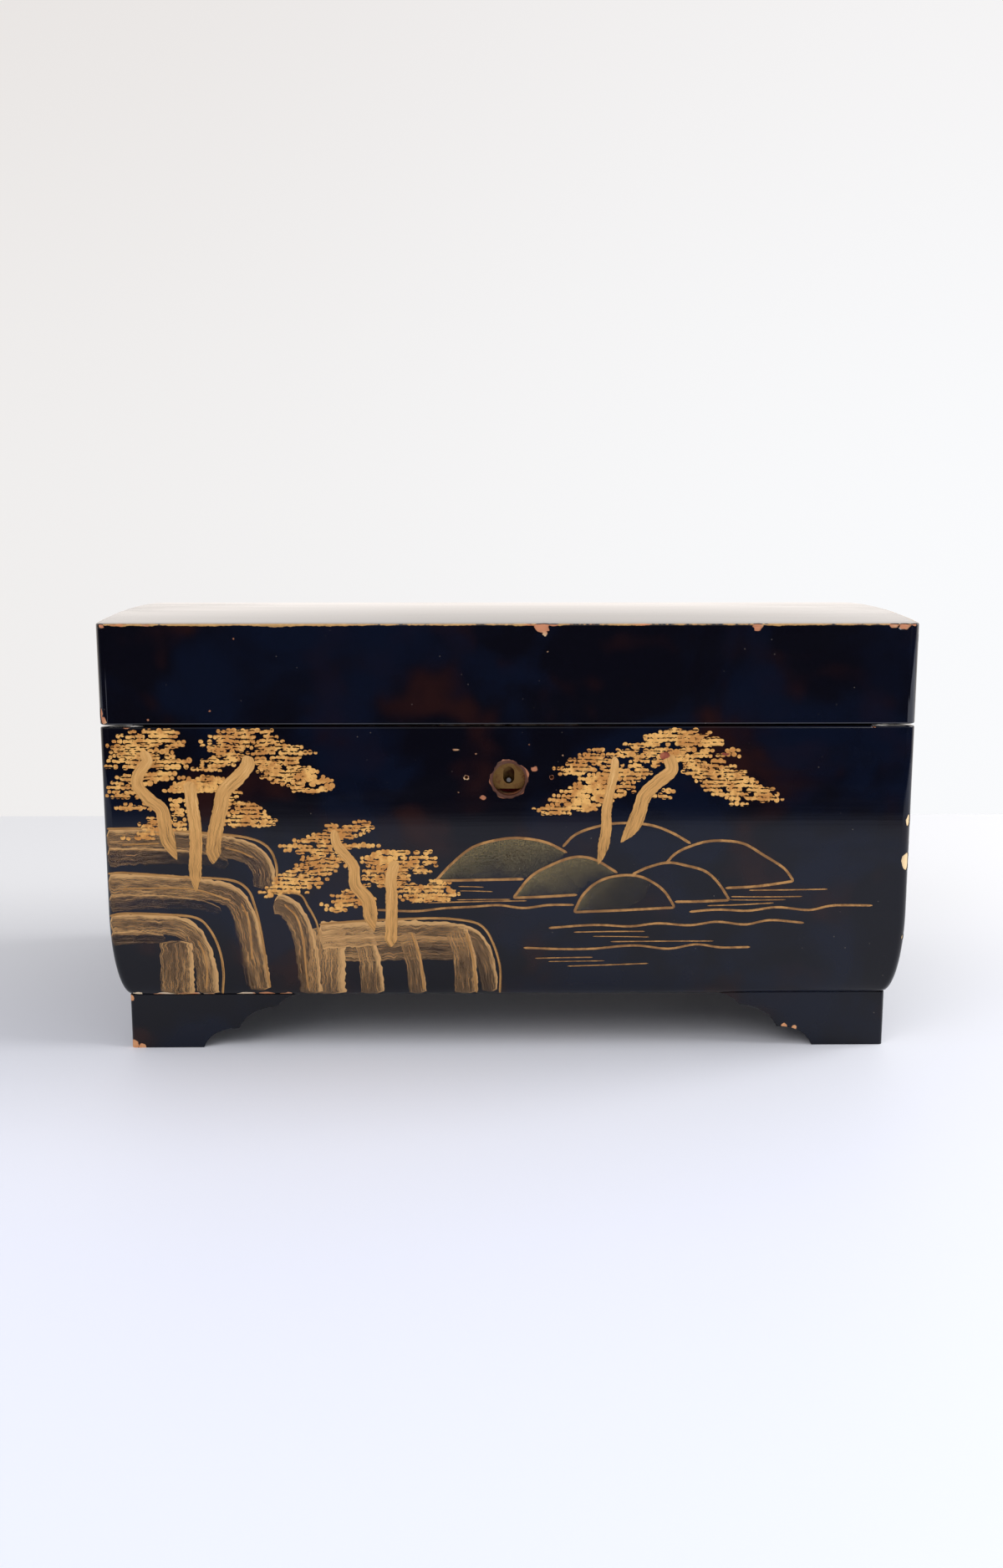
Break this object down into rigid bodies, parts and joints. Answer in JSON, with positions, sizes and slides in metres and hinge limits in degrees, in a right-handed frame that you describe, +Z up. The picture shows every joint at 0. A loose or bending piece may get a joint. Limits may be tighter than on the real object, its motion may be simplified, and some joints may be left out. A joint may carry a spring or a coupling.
{
  "type": "lacquer jewelry box",
  "caption": "Black lacquered wooden jewelry box with an arched hinged lid, bracket feet, a small lock, a lid mirror and a lift-out tray with ring rolls.",
  "frame": {"origin": "on the surface that the box stands on, at the middle of its outer box, the hinge barrels at the back included", "axes": "+X along the front from left to right as seen from the front, +Y from the front with the key hole to the back with the hinges, +Z up"},
  "size_m": [0.27, 0.1646, 0.1497],
  "materials": {
    "lacquered_wood": "black gloss lacquer with worn, chipped edges",
    "velvet": "dark red cotton velvet",
    "ribbon": "red satin ribbon",
    "brass": "aged brass",
    "steel": "dull steel",
    "mirror_glass": "silvered glass"
  },
  "bodies": {
    "box_body": {"front_board": "lacquered_wood", "back_board": "lacquered_wood", "left_board": "lacquered_wood", "right_board": "lacquered_wood", "bottom_board": "lacquered_wood", "foot_front_left": "lacquered_wood", "foot_front_right": "lacquered_wood", "foot_back_left": "lacquered_wood", "foot_back_right": "lacquered_wood", "floor_lining": "velvet", "wall_lining": "velvet", "tray_rest_left": "velvet", "tray_rest_right": "velvet", "lock_case": "brass", "lock_cover": "brass", "key_post": "steel", "lock_spring": "steel", "lock_screw_left": "steel", "lock_screw_right": "steel", "hinge_left_body_leaf": "brass", "hinge_left_pin": "steel", "hinge_left_body_screw_outer": "steel", "hinge_left_body_screw_inner": "steel", "hinge_right_body_leaf": "brass", "hinge_right_pin": "steel", "hinge_right_body_screw_outer": "steel", "hinge_right_body_screw_inner": "steel"},
    "lid": {"lid_front_rail": "lacquered_wood", "lid_back_rail": "lacquered_wood", "lid_left_rail": "lacquered_wood", "lid_right_rail": "lacquered_wood", "lid_top": "lacquered_wood", "lid_lining": "velvet", "mirror": "mirror_glass", "mirror_frame": "lacquered_wood", "strike_plate": "brass", "strike_screw_left": "steel", "strike_screw_right": "steel", "hinge_left_lid_leaf": "brass", "hinge_left_lid_screw_outer": "steel", "hinge_left_lid_screw_inner": "steel", "hinge_right_lid_leaf": "brass", "hinge_right_lid_screw_outer": "steel", "hinge_right_lid_screw_inner": "steel"},
    "bolt": {"lock_bolt": "steel"},
    "tray": {"tray_base": "velvet", "tray_front_wall": "velvet", "tray_back_wall": "velvet", "tray_left_wall": "velvet", "tray_right_wall": "velvet", "tray_divider": "velvet", "tray_partition_left": "velvet", "tray_partition_right": "velvet", "ring_roll_1": "velvet", "ring_roll_2": "velvet", "ring_roll_3": "velvet", "ring_roll_4": "velvet", "tray_ribbon_left": "ribbon", "tray_ribbon_right": "ribbon"}
  },
  "joints": [
    {"name": "lid_hinge", "type": "hinge", "parent": "box_body", "child": "lid", "pos_m": [0, 0.08032, 0.11238], "axis": [-1, 0, 0], "range_deg": [0, 100]},
    {"name": "lock_bolt_slide", "type": "slide", "parent": "box_body", "child": "bolt", "axis": [1, 0, 0], "range_m": [0, 0.004]},
    {"name": "tray_lift", "type": "slide", "parent": "box_body", "child": "tray", "axis": [0, 0, 1], "range_m": [0, 0.025]}
  ]
}
